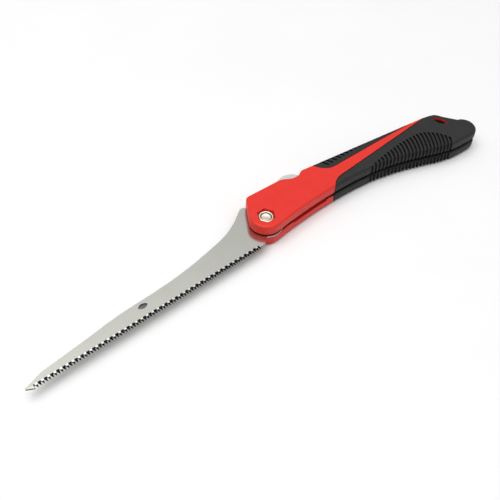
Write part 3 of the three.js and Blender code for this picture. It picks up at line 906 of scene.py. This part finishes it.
def buildBlade():
    low = saw["low"]
    high = saw["high"]
    piece = drawLine("sawBlade", toothStops(), lambda x, y: at(x, y, low), 1, closed=False)
    editAll(piece)
    bpy.ops.mesh.extrude_edges_move(TRANSFORM_OT_translate={"value": (0, 0, 0)})
    bpy.ops.transform.resize(value=(1, 0, 1), center_override=at(0, saw["rootLine"], low))
    closeEdit(piece)
    body = drawLine("bladeBody", bladeBodyStops(), lambda x, y: at(x, y, low), 8, closed=False)
    pick(piece, body)
    bpy.ops.object.join()
    editAll(piece)
    bpy.ops.mesh.remove_doubles(threshold=weld)
    closeEdit(piece)

    def rim(spot):
        return spot[1] > saw["rootLine"] - same or spot[0] > saw["heel"] - same

    editEdges(piece, lambda one, other: rim(one) and rim(other))
    bpy.ops.mesh.edge_face_add()
    closeEdit(piece)
    raiseFace(piece, saw["thickness"])

    for side, level in ((1, high), (-1, low)):
        # every other tooth leans to this side, and is ground on it
        parity = 0 if side == 1 else 1
        editEdges(piece, lambda one, other: isTip(one) and isTip(other) and toothOf(one[0]) % 2 == parity)
        bpy.ops.transform.translate(value=(0, 0, side * saw["set"] * mm))
        closeEdit(piece)

        def flank(one, other):
            tips = [spot for spot in (one, other) if isTip(spot)]
            roots = [spot for spot in (one, other) if abs(spot[1] - saw["gullet"]) < 2 * same]
            onSide = all(abs(spot[2] - level) < saw["set"] + saw["margin"] for spot in (one, other))
            return len(tips) == 1 and len(roots) == 1 and onSide and toothOf(tips[0][0]) % 2 == parity

        editEdges(piece, flank)
        bpy.ops.mesh.bevel(offset=saw["grind"] * mm, segments=1, affect="EDGES", clamp_overlap=True)
        closeEdit(piece)

    def backRim(one, other):
        outside = all(spot[1] > saw["rootLine"] + saw["margin"] for spot in (one, other))
        onTop = one[2] > high - same and other[2] > high - same
        onBottom = one[2] < low + same and other[2] < low + same
        return outside and (onTop or onBottom)

    editEdges(piece, backRim)
    bpy.ops.mesh.bevel(offset=saw["edge"] * mm, segments=2, affect="EDGES", clamp_overlap=True)
    closeEdit(piece)
    mark = saw["mark"]
    recess = ovalHole(mark["x"], mark["y"], mark["length"], mark["width"], 0, high - mark["depth"], high + 2)
    carve(piece, recess, rod(0, 0, saw["bushHole"], low - 2, high + 2, 64))
    editAll(piece)
    bpy.ops.mesh.dissolve_limited(angle_limit=flatAngle)
    splitAt(((0, saw["toothTop"], 0), (0, 1, 0)), ((0, saw["bluedTop"], 0), (0, 1, 0)))
    closeEdit(piece)
    shade(piece, 20, merge=False)
    finish(piece, finishes["blade_steel"], "blade", "blade_steel", "blade")
    paintBlade(piece)
    print("blade modelled")


def paintBlade(piece):
    # the ground sides are bright, the cut edges plain and the point fresh; the teeth are blue-black along
    # their hardened tips and painted dark on their walls and on every other tooth as painted shade and
    # reflection; the mark's floor is painted plain dark grey and its walls near-black, as painted shade in
    # its recess
    plain, blued, bright, shadedMarkFloor = 1, 2, 3, 4
    for material in (finishes["plain_steel"], toothSteelAndShade, pointSteel, finishes["spring_steel"]):
        piece.data.materials.append(material)
    mark = saw["mark"]
    for face in piece.data.polygons:
        x, y, z = spotOf(face.center)
        flat = abs(face.normal.z) > saw["level"]
        inTeeth = y < saw["toothTop"] and x < saw["heel"]
        alongMark = abs(x - mark["x"]) < mark["length"] / 2 + mark["margin"]
        acrossMark = abs(y - mark["y"]) < mark["width"] / 2 + mark["margin"]
        sunk = saw["low"] + mark["margin"] < z < saw["high"] - saw["margin"]
        if inTeeth and x < saw["first"] and face.normal.z > 0.5:
            face.material_index = bright
        # painted shade and reflection: every tooth wall and every other tooth go dark, as well as the
        # hardened band at the tips
        elif inTeeth and (not flat or toothOf(x) % 2 == 0 or y < saw["bluedTop"]):
            face.material_index = blued
        # painted shade: the mark's floor and walls are darkened
        elif alongMark and acrossMark and sunk:
            face.material_index = shadedMarkFloor if flat else blued
        elif not flat:
            face.material_index = plain


lever = {"pinX": handle["leverX"], "pinY": 15.4, "eye": 4.0, "armLow": 14.5, "armHigh": 17.6,
         "tabRadius": 13.4, "tooth": (4.8, 8.0), "clear": 13.75, "edge": 0.35, "hole": 2.1}


def leverStops():
    left, right = lever["tooth"]
    x = lever["pinX"]
    y = lever["pinY"]
    low = lever["armLow"]
    high = lever["armHigh"]
    feet = [math.sqrt(lever["clear"] ** 2 - spot ** 2) for spot in (left, right)]
    stops = [(left, feet[0], "corner"), (right, feet[1], "corner"), (right + 0.2, low - 0.9, "corner"),
             (right + 0.5, low - 0.2, "round"), (right + 1.5, low, "corner"), (x - 8, low - 0.2, "corner"),
             (x - 5.2, low - 0.8, "round")]
    stops += ring(x, y, lever["eye"], 217, 318, 6)
    stops += [(x + 18.7, y + 2.2, "corner")]
    stops += ring(x + 8.2, y + 1.6, lever["tabRadius"], 12, 138, 12)
    stops += [(x - 3.4, high + 5.2, "round"), (x - 4.6, high + 1.8, "round"), (x - 7, high + 0.8, "corner"),
              (left + 5, high, "corner"), (left + 1.6, high - 0.6, "round"), (left, high - 2, "corner")]
    return stops


def buildLever():
    low = leverLow.z / mm
    high = leverHigh.z / mm
    piece = slab("thumbLever", leverStops(), low, high, 6)
    edge = lever["edge"]
    roundRims(piece, lambda one, other: edge if abs(one[2] - other[2]) < same else 0, edge, 3)
    carve(piece, rod(lever["pinX"], lever["pinY"], lever["hole"], low - 2, high + 2))
    shade(piece)
    finish(piece, finishes["lever_steel"], "lock_lever", "lever_steel", "lock_lever")
    print("lever modelled")


nut = {"flats": 12.7, "seat": 12.8, "top": 18.3, "crown": 5.8, "bore": 4.05, "lip": 4.5, "ring": 5.1,
       "ringSeat": 16.3, "lipLow": 17.8, "cone": 6.1, "dish": 0.12}
bolt = {"radius": 3.95, "headLow": 0.8, "headHigh": 4.8, "end": 18.0, "chamfer": 0.5, "cones": (5.9, 7.3)}
coneSlope = 0.55  # how far a turned-off corner drops for each millimetre outwards


def hexBlank(low, high, lowCone, highCone):
    # a hexagon whose corners are turned off at one or both ends; a cone is its radius at the end face
    corner = nut["flats"] / 2 / math.cos(math.pi / 6)
    blank = rod(0, 0, corner, low, high, 6, 90)
    rim = corner + 0.3
    cone = [(0, low), (lowCone, low), (rim, low + (rim - lowCone) * coneSlope),
            (rim, high - (rim - highCone) * coneSlope), (highCone, high), (0, high)]
    return carve(blank, turned("cone", [(*stop, "corner") for stop in cone], 0, 0), how="INTERSECT")


def buildNut():
    piece = hexBlank(nut["seat"], nut["ringSeat"], nut["cone"], nut["cone"])
    piece.name = piece.data.name = "nylonInsertNut"
    wall = nut["crown"]
    foot = nut["ringSeat"]
    top = nut["top"]
    crown = [(0, foot - 0.5, "corner"), (wall + 0.5, foot - 0.5, "corner"), (wall + 0.1, foot + 0.2, "round"),
             (wall, foot + 0.6, "corner"), (wall, top - 0.8, "corner"), (wall - 0.15, top - 0.3, "round"),
             (wall - 0.6, top, "corner"), (nut["lip"] + 0.1, top - nut["dish"], "corner"),
             (0, top - nut["dish"], "corner")]
    carve(piece, turned("crown", crown, 0, 0), how="UNION")
    bore = [(0, nut["seat"] - 1), (nut["bore"], nut["seat"] - 1), (nut["bore"], foot), (nut["ring"], foot),
            (nut["ring"], nut["lipLow"]), (nut["lip"], nut["lipLow"] + 0.15), (nut["lip"], top + 1),
            (0, top + 1)]
    carve(piece, turned("bore", [(*stop, "corner") for stop in bore], 0, 0))
    shade(piece, 28)
    finish(piece, finishes["zinc_steel"], "handle", "zinc_steel", "pivot_nut")


def buildBolt():
    piece = hexBlank(bolt["headLow"], bolt["headHigh"], *bolt["cones"])
    piece.name = piece.data.name = "pivotBolt"
    radius = bolt["radius"]
    end = bolt["end"]
    shank = [(0, bolt["headHigh"] - 1, "corner"), (radius, bolt["headHigh"] - 1, "corner"),
             (radius, end - bolt["chamfer"], "corner"), (radius - bolt["chamfer"], end, "corner"),
             (radius - 1.4, end, "corner"), (radius - 1.9, end - 0.12, "corner"), (0, end - 0.12, "corner")]
    carve(piece, turned("shank", shank, 0, 0), how="UNION")
    shade(piece, 28)
    finish(piece, finishes["zinc_steel"], "handle", "zinc_steel", "pivot_bolt")


def screwBlank():
    # a pan-head screw with a cross recess
    top = screws["depth"]
    head = screws["headRadius"]
    shank = screws["shankRadius"]
    end = screws["end"]
    reach = screws["crossReach"]
    profile = [(0, 0.6, "corner"), (1.4, 0.65, "round"), (2.3, 0.95, "round"), (head, 1.7, "corner"),
               (head, top, "corner"), (shank, top, "corner"), (shank, end - 1.1, "corner"),
               (shank - 0.8, end, "corner"), (0, end, "corner")]
    piece = turned("handleScrew", profile, 0, 0, 40)
    for stretch in ((reach, 1, 1), (1, reach, 1)):
        bar = rod(0, 0, screws["crossHalf"], -1.4, 1.9, 4, 45)
        editAll(bar)
        bpy.ops.transform.resize(value=stretch, center_override=at(0, 0, 0))
        closeEdit(bar)
        carve(piece, bar)
    return shade(piece, 28)


def buildScrews():
    blank = screwBlank()
    for number, (x, y) in enumerate(screws["spots"], 1):
        piece = copyOf(blank, f"handleScrew{number}")
        angle = math.radians(screws["turn"] * number)
        editAll(piece)
        bpy.ops.transform.rotate(value=angle, orient_axis="Z", center_override=at(0, 0, 0))
        bpy.ops.transform.translate(value=(x * mm, y * mm, 0))
        closeEdit(piece)
        finish(piece, finishes["plain_steel"], "handle", "plain_steel", f"handle_screw_{number}")
    bpy.data.objects.remove(blank)
    print("fasteners modelled")


buildShells()
buildGrips()
buildBlade()
buildLever()
buildNut()
buildBolt()
buildScrews()
